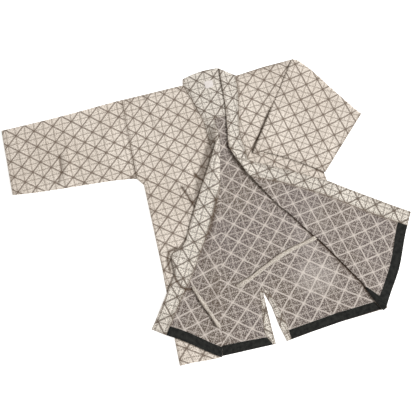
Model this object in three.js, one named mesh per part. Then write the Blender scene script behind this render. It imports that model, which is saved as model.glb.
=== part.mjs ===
// A martial arts jacket of thick woven cloth, laid on its back on a flat surface.
// Both fronts are turned out over their own fold lines, so their inside shows.
// Millimetres, +Z up, +Y towards the neck, +X towards the wearer's left.
// Tables are written from the middle of the back neck, and the group is centred at the end.

import * as THREE from 'three';

// Thicknesses and seam gap
const CLOTH = 1.6;
const BAND = 2.4;
const TAPE = 1.0;
const TIE = 1.2;
const LABEL = 0.8;
const GAP = 0.3;

// The fronts lie on the back, and roll over round a line at this height
const FRONT_BOTTOM = CLOTH + GAP;
const FRONT_TOP = FRONT_BOTTOM + CLOTH;
const ROLL_RADIUS = 1.9;
const ROLL_CENTRE = FRONT_BOTTOM + CLOTH / 2 + ROLL_RADIUS;
const ROLL_LENGTH = Math.PI * ROLL_RADIUS;
const TURNED_TOP = 2 * ROLL_CENTRE - FRONT_BOTTOM;

// How far beyond the side of the body a turned front or a sleeve comes down to the surface
const SETTLE_START = 8;
const SLEEVE_SETTLE_START = 14;
const SETTLE_WIDTH = 42;

// Widths of the sewn-on strips
const FACING_WIDTH = 22;
const TIE_WIDTH_LONG = 14;
const TIE_WIDTH_SHORT = 11;
const LABEL_SIZE = [24, 20];
const LABEL_PLACE = [-2, 17];

// Columns across a front: flat part, roll, turned part
const COLUMNS = { flat: 4, roll: 6, turned: 8 };
const LEAST_COLUMN = 0.6;

// The armhole seams and the vent
const ARMHOLE_RIGHT = { top: [-257, 36], low: [-273, -195] };
const ARMHOLE_LEFT = { top: [250, 27], low: [262, -190] };
const VENT_TOP = -602;

// The line each front turns over on, and the side of the line that is turned
const FOLD_RIGHT = foldLine([-7, -118], [-166, -757], 1);
const FOLD_LEFT = foldLine([10, -205], [322, -738], -1);

// Side seams, down from the armpits
const SIDE_RIGHT = [
  { y: -218, x: -257 },
  { y: -300, x: -260 },
  { y: -400, x: -264 },
  { y: -480, x: -267 },
  { y: -560, x: -273 },
  { y: -640, x: -280 },
  { y: -700, x: -284 },
  { y: -752, x: -287 },
];
const SIDE_LEFT = [
  { y: -212, x: 252 },
  { y: -320, x: 258 },
  { y: -420, x: 268 },
  { y: -530, x: 287 },
  { y: -640, x: 311 },
  { y: -740, x: 334 },
];

// Right front as cut, laid flat: the side or armhole, and the seam of the collar band
const FRONT_RIGHT = [
  { sideY: 36, side: -257, seamY: 33, seam: -75 },
  { sideY: 12, side: -258.7, seamY: 12, seam: -69 },
  { sideY: -14, side: -260.5, seamY: -14, seam: -61 },
  { sideY: -53, side: -263.2, seamY: -53, seam: -51 },
  { sideY: -84, side: -265.3, seamY: -84, seam: -44 },
  { sideY: -130, side: -268.5, seamY: -130, seam: -42 },
  { sideY: -165, side: -270.9, seamY: -165, seam: -41.3 },
  { sideY: -195, side: -273, seamY: -195, seam: -41.3 },
  { sideY: -218, side: -257, seamY: -218, seam: -41.8 },
  { sideY: -260, side: -258.5, seamY: -260, seam: -42.4 },
  { sideY: -270, side: -258.9, seamY: -270, seam: -42.6 },
  { sideY: -280, side: -259.3, seamY: -280, seam: -42.8 },
  { sideY: -290, side: -259.7, seamY: -290, seam: -42.9 },
  { sideY: -300, side: -260, seamY: -300, seam: -43 },
  { sideY: -350, side: -262, seamY: -350, seam: -42 },
  { sideY: -400, side: -264, seamY: -400, seam: -41 },
  { sideY: -480, side: -267, seamY: -480, seam: -31 },
  { sideY: -560, side: -273, seamY: -560, seam: -22 },
  { sideY: -640, side: -280, seamY: -640, seam: -11 },
  { sideY: -690, side: -283.5, seamY: -676, seam: -8 },
  { sideY: -724, side: -285.4, seamY: -705, seam: -5.1, dip: 13, dipAt: 0.42, dipEnd: 0.52 },
  { sideY: -752, side: -287, seamY: -733, seam: -3, dip: 13, dipAt: 0.42, dipEnd: 0.52 },
];

// Right collar band as cut: its seam and its free edge
const LAPEL_RIGHT = [
  { y: -84.5, seam: -44, freeY: -84.5, free: -12 },
  { y: -105, seam: -43, freeY: -105, free: -13.5 },
  { y: -125, seam: -42.2, freeY: -125, free: -13.5 },
  { y: -140, seam: -41.8, freeY: -140, free: -10.5 },
  { y: -155, seam: -41.5, freeY: -155, free: -5.5 },
  { y: -165, seam: -41.3, freeY: -165, free: -4 },
  { y: -195, seam: -41.3, freeY: -195, free: -3.5 },
  { y: -230, seam: -42, freeY: -230, free: -2 },
  { y: -260, seam: -42.4, freeY: -260, free: 1 },
  { y: -270, seam: -42.6, freeY: -270, free: 2.1 },
  { y: -280, seam: -42.8, freeY: -280, free: 3.1 },
  { y: -290, seam: -42.9, freeY: -290, free: 4.1 },
  { y: -300, seam: -43, freeY: -300, free: 5 },
  { y: -350, seam: -42, freeY: -350, free: 8.5 },
  { y: -400, seam: -41, freeY: -400, free: 12 },
  { y: -480, seam: -31, freeY: -478, free: 18 },
  { y: -560, seam: -22, freeY: -556, free: 26 },
  { y: -640, seam: -11, freeY: -634, free: 35 },
  { y: -676, seam: -8, freeY: -670, free: 39.6 },
  { y: -705, seam: -5.1, freeY: -699, free: 43.3 },
  { y: -733, seam: -3, freeY: -727, free: 47 },
];

// Left front as cut, laid flat: the seam of the collar band, and the armhole or side
const FRONT_LEFT = [
  { seamY: 22, seam: 80, sideY: 27, side: 250 },
  { seamY: -20, seam: 76, sideY: -20, side: 252.6 },
  { seamY: -76, seam: 63, sideY: -76, side: 255.7 },
  { seamY: -133, seam: 50, sideY: -133, side: 258.8 },
  { seamY: -169, seam: 48, sideY: -169, side: 260.8 },
  { seamY: -190, seam: 47.3, sideY: -190, side: 262 },
  { seamY: -212, seam: 47, sideY: -212, side: 252 },
  { seamY: -240, seam: 46.5, sideY: -240, side: 253.5 },
  { seamY: -265, seam: 46.1, sideY: -265, side: 255.1 },
  { seamY: -267.5, seam: 46.05, sideY: -267.5, side: 255.2 },
  { seamY: -270, seam: 46, sideY: -270, side: 255.4 },
  { seamY: -272, seam: 45.75, sideY: -272, side: 255.5 },
  { seamY: -274, seam: 45.5, sideY: -274, side: 255.6 },
  { seamY: -276, seam: 45.25, sideY: -276, side: 255.7 },
  { seamY: -278, seam: 45, sideY: -278, side: 255.8 },
  { seamY: -290, seam: 43.5, sideY: -292, side: 256.5 },
  { seamY: -311, seam: 41, sideY: -320, side: 258 },
  { seamY: -362, seam: 37, sideY: -370, side: 263 },
  { seamY: -416, seam: 38, sideY: -420, side: 268 },
  { seamY: -477, seam: 40, sideY: -475, side: 277.5 },
  { seamY: -515, seam: 43, sideY: -503, side: 282.2 },
  { seamY: -553, seam: 46, sideY: -530, side: 287 },
  { seamY: -600, seam: 53, sideY: -585, side: 299 },
  { seamY: -647, seam: 58, sideY: -640, side: 311 },
  { seamY: -690, seam: 60.5, sideY: -684, side: 321 },
  { seamY: -718, seam: 62.5, sideY: -712, side: 327.7, dip: 7, dipAt: 0.5, dipEnd: 1 },
  { seamY: -746, seam: 65, sideY: -740, side: 334, dip: 7, dipAt: 0.5, dipEnd: 1 },
];

// Left collar band as cut: its free edge and its seam
const LAPEL_LEFT = [
  { freeY: 53, free: 38.5, y: 22.5, seam: 80 },
  { freeY: 21, free: 35, y: 2, seam: 78 },
  { freeY: -20, free: 32, y: -20, seam: 76 },
  { freeY: -52, free: 28.5, y: -50, seam: 69 },
  { freeY: -84, free: 23.5, y: -76, seam: 63 },
  { freeY: -133, free: 14, y: -133, seam: 50 },
  { freeY: -169, free: 11, y: -169, seam: 48 },
  { freeY: -205, free: 10, y: -205, seam: 47.2 },
  { freeY: -240, free: 6, y: -240, seam: 46.5 },
  { freeY: -265, free: 3.5, y: -265, seam: 46.1 },
  { freeY: -267.5, free: 3.3, y: -267.5, seam: 46.05 },
  { freeY: -270, free: 3, y: -270, seam: 46 },
  { freeY: -272, free: 2.9, y: -272, seam: 45.75 },
  { freeY: -275, free: 2.7, y: -274, seam: 45.5 },
  { freeY: -278, free: 2.5, y: -276, seam: 45.25 },
  { freeY: -281, free: 2.3, y: -278, seam: 45 },
  { freeY: -296, free: 1.4, y: -290, seam: 43.5 },
  { freeY: -320, free: 0, y: -311, seam: 41 },
  { freeY: -380, free: -2, y: -362, seam: 37 },
  { freeY: -440, free: -2, y: -416, seam: 38 },
  { freeY: -495, free: -1, y: -477, seam: 40 },
  { freeY: -528, free: 3.2, y: -515, seam: 43 },
  { freeY: -560, free: 7.5, y: -553, seam: 46 },
  { freeY: -605, free: 13, y: -600, seam: 53 },
  { freeY: -652, free: 19, y: -647, seam: 58 },
  { freeY: -690, free: 24, y: -690, seam: 60.5 },
  { freeY: -717, free: 26.5, y: -718, seam: 62.5 },
  { freeY: -745, free: 29, y: -746, seam: 65 },
];

// Sleeve sections from cuff to armhole: the two folded edges and the outer height
const SLEEVE_RIGHT = [
  { top: [-617, 37], low: [-632, -151], height: 6.6 },
  { top: [-560, 35.5], low: [-572, -160], height: 6.2 },
  { top: [-500, 34.5], low: [-506, -167], height: 5.8 },
  { top: [-440, 34], low: [-444, -173], height: 5.6 },
  { top: [-380, 34.5], low: [-382, -179], height: 5.4 },
  { top: [-320, 35.5], low: [-327, -185], height: 5.0 },
  { top: [-285, 36], low: [-297, -190], height: 4.2 },
];

// The left sleeve is bent down over the chest at a pleat, and goes on from there to its cuff
const PLEAT = { top: [252, 25], low: [75, -208] };
const PLEAT_ROLL = 2.4;
const PLEAT_TUCK = 28;
const SLEEVE_HEIGHT = 4.0;
const SLEEVE_LEFT = [
  { top: [263, 19], low: [92, -206], raised: 1 },
  { top: [279, 2], low: [109, -214], raised: 0.9 },
  { top: [302, -27], low: [140, -231], raised: 0.4 },
  { top: [334, -76], low: [178, -254], raised: 0.06 },
  { top: [364, -120], low: [214, -279], raised: 0 },
  { top: [385, -151], low: [238, -296], raised: 0 },
  { top: [404, -176], low: [261, -313], raised: 0 },
];

// Back: shoulders and neck, then the hem with its vent
const BACK_NECK = [
  [-175, 31],
  [-75, 33],
  [-40, 12],
  [0, 4],
  [45, 8],
  [80, 22],
  [165, 27],
];
const BACK_HEM_LEFT = [
  [194, -745],
  [110, -752],
  [31, -760],
];
const BACK_VENT = [
  [20, -709],
  [13, -648],
  [0.5, VENT_TOP],
  [-1, -650],
  [-2, -715],
  [-2, -760],
];
const BACK_HEM_RIGHT = [
  [-109, -757],
  [-228, -753],
];

// Collar band behind the neck, turned so that its inner face shows
const NECKBAND = [
  [-75, 37],
  [-71, 51],
  [-48, 58],
  [-18, 59],
  [21, 58],
  [37.5, 54],
  [34, 21],
  [31, -20],
  [27.5, -52],
  [22.5, -84],
  [-43.7, -84],
  [-50.7, -53],
  [-60.7, -14],
  [-68.7, 12],
];

// Inside ties: where each lies, from its sewn end to its free end
const TIE_LONG = [
  [172.5, -494],
  [125, -502],
  [80, -513],
  [16, -538],
  [-25, -557],
  [-70, -571],
];
const TIE_SHORT = [
  [-193, -538],
  [-184, -570],
  [-174, -597],
  [-164, -624],
  [-155, -650],
  [-146, -673],
];

const COLOURS = {
  outside: { color: 0xd9cfc4, roughness: 0.92 },
  inside: { color: 0x82766f, roughness: 0.95 },
  band: { color: 0xd6ccc0, roughness: 0.9 },
  tape: { color: 0x26282a, roughness: 0.8 },
  label: { color: 0xeeeae6, roughness: 0.7 },
};

// A fold line from its upper end to its lower end; turned is +1 for its +X side, -1 for its -X side
function foldLine(from, to, turned) {
  const along = new THREE.Vector2(to[0] - from[0], to[1] - from[1]).normalize();
  const across = new THREE.Vector2(-along.y, along.x).multiplyScalar(turned);
  return { from: new THREE.Vector2(...from), along, across };
}

// How far a flat point lies past the fold line
function pastFold(fold, x, y) {
  return (x - fold.from.x) * fold.across.x + (y - fold.from.y) * fold.across.y;
}

function smooth(value) {
  const t = Math.min(Math.max(value, 0), 1);
  return t * t * (3 - 2 * t);
}

// Reads the x of a seam, given as a table down the garment
function seamAt(table, y) {
  let i = 0;
  while (i < table.length - 2 && y < table[i + 1].y) i += 1;
  const t = THREE.MathUtils.clamp((y - table[i].y) / (table[i + 1].y - table[i].y), 0, 1);
  return THREE.MathUtils.lerp(table[i].x, table[i + 1].x, t);
}

// Rolls a point of the flat cut, at its height z, over the fold line; drop brings it to the surface
function turnOver(front, x, y, z, drop) {
  const { fold } = front;
  const past = pastFold(fold, x, y);
  if (past <= 0) return new THREE.Vector3(x, y, z);
  const footX = x - past * fold.across.x;
  const footY = y - past * fold.across.y;
  const angle = Math.min(past / ROLL_RADIUS, Math.PI);
  const back = Math.max(past - ROLL_LENGTH, 0);
  const out = (ROLL_CENTRE - z) * Math.sin(angle) - back;
  const px = footX + out * fold.across.x;
  const py = footY + out * fold.across.y;
  const pz = ROLL_CENTRE - (ROLL_CENTRE - z) * Math.cos(angle);
  return new THREE.Vector3(px, py, pz - front.settled(px, py) * drop);
}

// A grid of points above and one below, closed into one wall
function wallSolid(upper, lower) {
  const rows = upper.length;
  const columns = upper[0].length;
  const points = [...upper.flat(), ...lower.flat()];
  const at = (i, j) => i * columns + j;
  const below = (i, j) => rows * columns + i * columns + j;
  const faces = [];
  const quad = (a, b, c, d) => faces.push(a, b, c, a, c, d);
  for (let i = 0; i < rows - 1; i += 1) {
    for (let j = 0; j < columns - 1; j += 1) {
      quad(at(i, j), at(i + 1, j), at(i + 1, j + 1), at(i, j + 1));
      quad(below(i, j), below(i, j + 1), below(i + 1, j + 1), below(i + 1, j));
    }
    quad(at(i, 0), below(i, 0), below(i + 1, 0), at(i + 1, 0));
    quad(at(i, columns - 1), at(i + 1, columns - 1), below(i + 1, columns - 1), below(i, columns - 1));
  }
  for (let j = 0; j < columns - 1; j += 1) {
    quad(at(0, j), at(0, j + 1), below(0, j + 1), below(0, j));
    quad(at(rows - 1, j), below(rows - 1, j), below(rows - 1, j + 1), at(rows - 1, j + 1));
  }
  return solidGeometry(points, faces);
}

// Rings of outer and inner points, one after the other, closed into a tube wall open at both ends
function tubeSolid(rings) {
  const around = rings[0].outer.length;
  const points = rings.flatMap((ring) => [...ring.outer, ...ring.inner]);
  const outer = (i, j) => i * 2 * around + (j % around);
  const inner = (i, j) => outer(i, j) + around;
  const faces = [];
  const quad = (a, b, c, d) => faces.push(a, b, c, a, c, d);
  const last = rings.length - 1;
  for (let j = 0; j < around; j += 1) {
    for (let i = 0; i < last; i += 1) {
      quad(outer(i, j), outer(i + 1, j), outer(i + 1, j + 1), outer(i, j + 1));
      quad(inner(i, j), inner(i, j + 1), inner(i + 1, j + 1), inner(i + 1, j));
    }
    quad(outer(0, j), outer(0, j + 1), inner(0, j + 1), inner(0, j));
    quad(outer(last, j), inner(last, j), inner(last, j + 1), outer(last, j + 1));
  }
  return solidGeometry(points, faces);
}

// Points and faces as a geometry whose faces point out
function solidGeometry(points, faces) {
  let volume = 0;
  for (let k = 0; k < faces.length; k += 3) {
    const [a, b, c] = [points[faces[k]], points[faces[k + 1]], points[faces[k + 2]]];
    volume += a.dot(new THREE.Vector3().crossVectors(b, c));
  }
  const outward = volume > 0 ? faces : [...faces].reverse();
  const geometry = new THREE.BufferGeometry();
  geometry.setAttribute('position', new THREE.Float32BufferAttribute(points.flatMap((p) => p.toArray()), 3));
  geometry.setIndex(outward);
  geometry.computeVertexNormals();
  return geometry;
}

// A point of a row of the flat cut; a hem row dips below the straight line between its ends
function rowPoint(row, fraction) {
  const x = THREE.MathUtils.lerp(row.ax, row.bx, fraction);
  const y = THREE.MathUtils.lerp(row.ay, row.by, fraction);
  if (!row.dip) return [x, y];
  const rising = smooth(fraction / row.dipAt);
  const falling = 1 - smooth((fraction - row.dipAt) / (row.dipEnd - row.dipAt));
  return [x, y - row.dip * Math.min(rising, falling)];
}

// The fraction of a row that lies a given way past the fold, or the nearest end
function fractionAt(front, row, past) {
  const pastOf = (fraction) => pastFold(front.fold, ...rowPoint(row, fraction));
  const rising = pastOf(1) > pastOf(0);
  let low = 0;
  let high = 1;
  for (let k = 0; k < 30; k += 1) {
    const middle = (low + high) / 2;
    if (pastOf(middle) < past === rising) low = middle;
    else high = middle;
  }
  return (low + high) / 2;
}

// Where the columns of one row stand, so that some of them always follow the roll
function rowFractions(front, row) {
  const least = LEAST_COLUMN / Math.hypot(row.bx - row.ax, row.by - row.ay);
  const { roll, turned } = COLUMNS;
  const first = front.firstColumns;
  const third = COLUMNS.flat + turned - first;
  const ends = [fractionAt(front, row, 0), fractionAt(front, row, ROLL_LENGTH)].sort((a, b) => a - b);
  const low = THREE.MathUtils.clamp(ends[0], first * least, 1 - (roll + third) * least);
  const high = THREE.MathUtils.clamp(ends[1], low + roll * least, 1 - third * least);
  const fractions = [];
  for (let k = 0; k < first; k += 1) fractions.push((low * k) / first);
  for (let k = 0; k < roll; k += 1) fractions.push(low + ((high - low) * k) / roll);
  for (let k = 0; k <= third; k += 1) fractions.push(high + ((1 - high) * k) / third);
  return fractions;
}

// A piece of a front, from rows across its flat cut; a tape takes only some of the columns
function frontPiece(front, rows, { bottom, top, drop, columns = [0, Infinity] }) {
  const surface = (z) => rows.map((row) => rowFractions(front, row)
    .filter((fraction, k) => k >= columns[0] && k <= columns[1])
    .map((fraction) => turnOver(front, ...rowPoint(row, fraction), z, drop)));
  return wallSolid(surface(top), surface(bottom));
}

// A flat piece with the given outline, lying at one height
function plate(outline, bottom, thickness) {
  const shape = new THREE.Shape(outline.map(([x, y]) => new THREE.Vector2(x, y)));
  const geometry = new THREE.ExtrudeGeometry(shape, { depth: thickness, bevelEnabled: false });
  return geometry.translate(0, 0, bottom);
}

// A strip of even width along a line of points
function strap(line, width, bottom, thickness) {
  const left = [];
  const right = [];
  line.forEach(([x, y], i) => {
    const before = line[Math.max(i - 1, 0)];
    const after = line[Math.min(i + 1, line.length - 1)];
    const along = new THREE.Vector2(after[0] - before[0], after[1] - before[1]).normalize();
    left.push([x - (along.y * width) / 2, y + (along.x * width) / 2]);
    right.unshift([x + (along.y * width) / 2, y - (along.x * width) / 2]);
  });
  return plate([...left, ...right], bottom, thickness);
}

// One ring of a flattened sleeve: two straight runs and two half rounds, as [across, height] pairs
function flatRing(width, height) {
  const runs = 8;
  const bends = 4;
  const ring = [];
  const radius = height / 2;
  for (let k = 0; k < runs; k += 1) ring.push([radius + ((width - height) * k) / runs, -radius]);
  for (let k = 0; k < bends; k += 1) {
    const angle = (Math.PI * k) / bends;
    ring.push([width - radius + radius * Math.sin(angle), -radius * Math.cos(angle)]);
  }
  for (let k = 0; k < runs; k += 1) ring.push([width - radius - ((width - height) * k) / runs, radius]);
  for (let k = 0; k < bends; k += 1) {
    const angle = (Math.PI * k) / bends;
    ring.push([radius - radius * Math.sin(angle), radius * Math.cos(angle)]);
  }
  return ring;
}

// The outer and inner ring of a sleeve section, each point placed by a function
function sleeveRing(section, height, place) {
  const low = new THREE.Vector2(...section.low);
  const across = new THREE.Vector2(...section.top).sub(low);
  const width = across.length();
  across.normalize();
  const put = ([w, h]) => place(low.x + across.x * w, low.y + across.y * w, h);
  const outer = flatRing(width, height).map(put);
  const inner = flatRing(width - 2 * CLOTH, height - 2 * CLOTH).map(([w, h]) => put([w + CLOTH, h]));
  return { outer, inner };
}

// Height of what lies under the left sleeve: the two layers of the body, then the surface
function underSleeve(x, y) {
  const edge = seamAt([{ y: 27, x: 250 }, { y: -190, x: 262 }, { y: -320, x: 258 }], y);
  return (FRONT_TOP + GAP) * (1 - smooth((x - edge - SLEEVE_SETTLE_START) / SETTLE_WIDTH));
}

function makeSleeveRight() {
  const onSurface = (height) => (x, y, h) => new THREE.Vector3(x, y, height / 2 + h);
  const rings = SLEEVE_RIGHT.map((section) => sleeveRing(section, section.height, onSurface(section.height)));
  const seam = {
    top: [ARMHOLE_RIGHT.top[0] - GAP, ARMHOLE_RIGHT.top[1]],
    low: [ARMHOLE_RIGHT.low[0] - GAP, ARMHOLE_RIGHT.low[1]],
  };
  const seamHeight = FRONT_TOP;
  rings.push(sleeveRing(seam, seamHeight, onSurface(seamHeight)));
  return tubeSolid(rings);
}

function makeSleeveLeft() {
  const low = new THREE.Vector2(...PLEAT.low);
  const along = new THREE.Vector2(...PLEAT.top).sub(low).normalize();
  const outward = new THREE.Vector2(along.y, -along.x);
  const pleatMid = FRONT_TOP + GAP + SLEEVE_HEIGHT / 2 + 2 * PLEAT_ROLL;
  const rings = [];
  const rolled = (angle, tucked) => (x, y, h) => {
    const reach = tucked - (PLEAT_ROLL + h) * Math.sin(angle);
    const z = pleatMid - PLEAT_ROLL + (PLEAT_ROLL + h) * Math.cos(angle);
    return new THREE.Vector3(x + outward.x * reach, y + outward.y * reach, z);
  };
  rings.push(sleeveRing(PLEAT, SLEEVE_HEIGHT, rolled(Math.PI, PLEAT_TUCK)));
  const steps = 6;
  for (let k = steps; k >= 0; k -= 1) rings.push(sleeveRing(PLEAT, SLEEVE_HEIGHT, rolled((Math.PI * k) / steps, 0)));
  for (const section of SLEEVE_LEFT) {
    const place = (x, y, h) => {
      const rest = underSleeve(x, y) + SLEEVE_HEIGHT / 2;
      return new THREE.Vector3(x, y, THREE.MathUtils.lerp(rest, pleatMid, section.raised) + h);
    };
    rings.push(sleeveRing(section, SLEEVE_HEIGHT, place));
  }
  return tubeSolid(rings);
}

function makeBack() {
  const outline = [
    ARMHOLE_RIGHT.top,
    ...BACK_NECK,
    ARMHOLE_LEFT.top,
    ARMHOLE_LEFT.low,
    ...SIDE_LEFT.map(({ x, y }) => [x, y]),
    ...BACK_HEM_LEFT,
    ...BACK_VENT,
    ...BACK_HEM_RIGHT,
    ...[...SIDE_RIGHT].reverse().map(({ x, y }) => [x, y]),
    ARMHOLE_RIGHT.low,
  ];
  return plate(outline, 0, CLOTH);
}

const rightFront = {
  fold: FOLD_RIGHT,
  firstColumns: COLUMNS.flat,
  settled: (x, y) => smooth((seamAt(SIDE_RIGHT, y) - x - SETTLE_START) / SETTLE_WIDTH),
};
const leftFront = {
  fold: FOLD_LEFT,
  firstColumns: COLUMNS.turned,
  settled: (x, y) => smooth((x - seamAt(SIDE_LEFT, y) - SETTLE_START) / SETTLE_WIDTH),
};

// Layers of a front: the cloth, the band sewn along it, and the tape on its inside
const turnedDrop = (thickness) => TURNED_TOP - thickness;
const clothLayer = { bottom: FRONT_BOTTOM, top: FRONT_TOP, drop: turnedDrop(CLOTH) };
const bandLayer = { bottom: FRONT_BOTTOM, top: FRONT_BOTTOM + BAND, drop: turnedDrop(BAND) };
const tapeLayer = { bottom: FRONT_BOTTOM - GAP - TAPE, top: FRONT_BOTTOM - GAP, drop: turnedDrop(CLOTH) };

const { flat, roll, turned } = COLUMNS;
const rightTapeLayer = { ...tapeLayer, columns: [flat + roll / 2, Infinity] };
const leftTapeLayer = { ...tapeLayer, columns: [0, turned + roll / 2] };

const rightRows = FRONT_RIGHT.map((r) => ({ ...r, ax: r.side, ay: r.sideY, bx: r.seam - GAP, by: r.seamY }));
const leftRows = FRONT_LEFT.map((r) => ({ ...r, ax: r.seam + GAP, ay: r.seamY, bx: r.side, by: r.sideY }));
const rightBandRows = LAPEL_RIGHT.map((r) => ({ ax: r.seam, ay: r.y, bx: r.free, by: r.freeY }));
const leftBandRows = LAPEL_LEFT.map((r) => ({ ax: r.free, ay: r.freeY, bx: r.seam, by: r.y }));

function part(name, geometry, finish) {
  const mesh = new THREE.Mesh(geometry, new THREE.MeshStandardMaterial({ ...COLOURS[finish], metalness: 0 }));
  mesh.name = name;
  return mesh;
}

// The cream facing down one side of the vent, and the black tape on each half of the back hem
const facingRight = [
  [-2.5, -759.5],
  [-2.5, -715],
  [-1.5, -650],
  [-1, -620],
  [-8, -606],
  [-14, -640],
  [-2.5 - FACING_WIDTH, -715],
  [-2.5 - FACING_WIDTH, -730],
  [-14, -738],
  [-11, -759],
];
const facingLeft = [
  [31, -759],
  [20.5, -709],
  [13.5, -648],
  [5, -616],
  [12, -606],
  [25, -645],
  [20.5 + FACING_WIDTH, -709],
  [45, -757],
];
const tapeBackRight = [
  [-11.5, -759.5],
  [-14.5, -738],
  [-90, -730],
  [-154, -726],
  [-159, -755],
  [-109, -756.5],
];
const tapeBackLeft = [
  [45.5, -757.5],
  [44.5, -730],
  [190, -717],
  [304, -713],
  [319, -738],
  [194, -744.5],
  [110, -751.5],
];

const [labelX, labelY] = LABEL_PLACE;
const [labelW, labelH] = LABEL_SIZE;
const label = [
  [labelX - labelW / 2, labelY - labelH / 2],
  [labelX + labelW / 2, labelY - labelH / 2],
  [labelX + labelW / 2, labelY + labelH / 2],
  [labelX - labelW / 2, labelY + labelH / 2],
];

const jacket = new THREE.Group();
jacket.add(
  part('back', makeBack(), 'inside'),
  part('front_right', frontPiece(rightFront, rightRows, clothLayer), 'outside'),
  part('front_left', frontPiece(leftFront, leftRows, clothLayer), 'outside'),
  part('sleeve_right', makeSleeveRight(), 'outside'),
  part('sleeve_left', makeSleeveLeft(), 'outside'),
  part('neckband', plate(NECKBAND, FRONT_BOTTOM, BAND), 'band'),
  part('lapel_right', frontPiece(rightFront, rightBandRows, bandLayer), 'band'),
  part('lapel_left', frontPiece(leftFront, leftBandRows, bandLayer), 'band'),
  part('tape_front_right', frontPiece(rightFront, rightRows.slice(-2), rightTapeLayer), 'tape'),
  part('tape_front_left', frontPiece(leftFront, leftRows.slice(-2), leftTapeLayer), 'tape'),
  part('tape_back_right', plate(tapeBackRight, FRONT_BOTTOM, TAPE), 'tape'),
  part('tape_back_left', plate(tapeBackLeft, FRONT_BOTTOM, TAPE), 'tape'),
  part('vent_facing_right', plate(facingRight, FRONT_BOTTOM, TAPE), 'band'),
  part('vent_facing_left', plate(facingLeft, FRONT_BOTTOM, TAPE), 'band'),
  part('tie_long', strap(TIE_LONG, TIE_WIDTH_LONG, FRONT_BOTTOM, TIE), 'band'),
  part('tie_short', strap(TIE_SHORT, TIE_WIDTH_SHORT, TURNED_TOP + GAP, TIE), 'band'),
  part('label', plate(label, FRONT_BOTTOM + BAND + GAP, LABEL), 'label'),
);

const box = new THREE.Box3().setFromObject(jacket);
const middle = box.getCenter(new THREE.Vector3());
jacket.position.set(-middle.x, -middle.y, -box.min.z);
const group = new THREE.Group();
group.add(jacket);

export default group;
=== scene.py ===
"""Looks of the martial arts jacket: cloth, bands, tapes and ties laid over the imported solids."""
import math

import bpy
import numpy as np
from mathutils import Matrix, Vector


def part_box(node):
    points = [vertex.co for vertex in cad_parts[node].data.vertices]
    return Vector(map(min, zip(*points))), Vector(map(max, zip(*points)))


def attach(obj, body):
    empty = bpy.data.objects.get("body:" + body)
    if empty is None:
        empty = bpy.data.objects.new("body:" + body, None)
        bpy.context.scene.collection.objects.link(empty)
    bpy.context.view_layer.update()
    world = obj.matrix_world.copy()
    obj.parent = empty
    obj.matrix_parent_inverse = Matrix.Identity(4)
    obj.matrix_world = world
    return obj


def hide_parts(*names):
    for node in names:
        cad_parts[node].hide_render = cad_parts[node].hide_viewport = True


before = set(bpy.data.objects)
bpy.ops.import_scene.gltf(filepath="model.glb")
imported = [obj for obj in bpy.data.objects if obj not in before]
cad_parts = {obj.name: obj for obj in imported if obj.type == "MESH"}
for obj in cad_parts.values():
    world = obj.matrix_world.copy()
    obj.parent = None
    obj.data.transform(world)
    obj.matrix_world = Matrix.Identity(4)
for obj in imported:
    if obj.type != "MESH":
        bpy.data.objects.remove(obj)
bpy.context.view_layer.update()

# Places are in millimetres from the middle of the back neck, +Y to the neck, as the cut was drawn
MM = 0.001
BACK_CORNER = (-287.0, -760.0)
back_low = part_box("back")[0]
SHIFT = np.array([back_low[0] - BACK_CORNER[0] * MM, back_low[1] - BACK_CORNER[1] * MM, 0.0])

# Thicknesses, and the heights of the middle of each layer
CLOTH = 1.6
BAND = 2.4
TAPE = 1.0
TIE = 1.2
LABEL = 0.8
GAP = 0.3
BACK_MID = CLOTH / 2
FRONT_MID = CLOTH + GAP + CLOTH / 2
BAND_MID = CLOTH + GAP + BAND / 2
SLEEVE_REST = 2 * CLOTH + 2 * GAP

# The cloth that goes round a fold, and how the turned part comes down from it
ROLL = 1.9
ROLL_LENGTH = math.pi * ROLL
TURNED_SUM = 2 * (FRONT_MID + ROLL)
FALL_WIDTH = 38.0
SETTLE_START = 8.0
SETTLE_WIDTH = 42.0
BOW_REACH = 70.0

# Spacing of the rows of a cut sheet, and of a hem tape
STEP = 3.2
TAPE_STEP = 4.0

# Grid columns of the fronts and their bands: before, through and after the roll
COLUMNS_RIGHT = (66, 10, 44)
COLUMNS_LEFT = (72, 10, 50)
BAND_COLUMNS_RIGHT = (12, 10, 14)
BAND_COLUMNS_LEFT = (12, 10, 12)

# Grid points of the other sheets
BACK_ROWS = 230
BACK_HALF_COLUMNS = 84
SLEEVE_ROWS = 112
ROUND_RIGHT = 66
ROUND_LEFT = 72
NECKBAND_ROWS = 44
NECKBAND_COLUMNS = 34
STRIP_POINTS = 90
TIE_SPACING = 2.5
TIE_SMOOTHING = 9

# Columns of each front that its hem tape covers, and how far it climbs at the left fold
TAPED_RIGHT = slice(69, None)
TAPED_LEFT = slice(0, 80)
CLIMB_LEFT = 52

# Steps in which each row is searched for its fold, and a distance beyond any sewn edge
FINE_STEPS = 1201
FAR = 900.0

# How far the bands' weave is out of step with the panels', and the counts a millimetre on plain strips
BAND_OFFSET = 0.36
PLAIN_COUNTS = 0.03

# Side seams: y, x
SIDE_RIGHT = [(36, -257), (-195, -273), (-218, -257), (-300, -260), (-400, -264), (-480, -267),
              (-560, -273), (-640, -280), (-700, -284), (-752, -287)]
SIDE_LEFT = [(27, 250), (-190, 262), (-212, 252), (-320, 258), (-420, 268), (-530, 287),
             (-640, 311), (-740, 330)]
BODY_SIDE_RIGHT = [(-218, -257)] + SIDE_RIGHT[3:]
BODY_SIDE_LEFT = [(-212, 252)] + SIDE_LEFT[3:]

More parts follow.
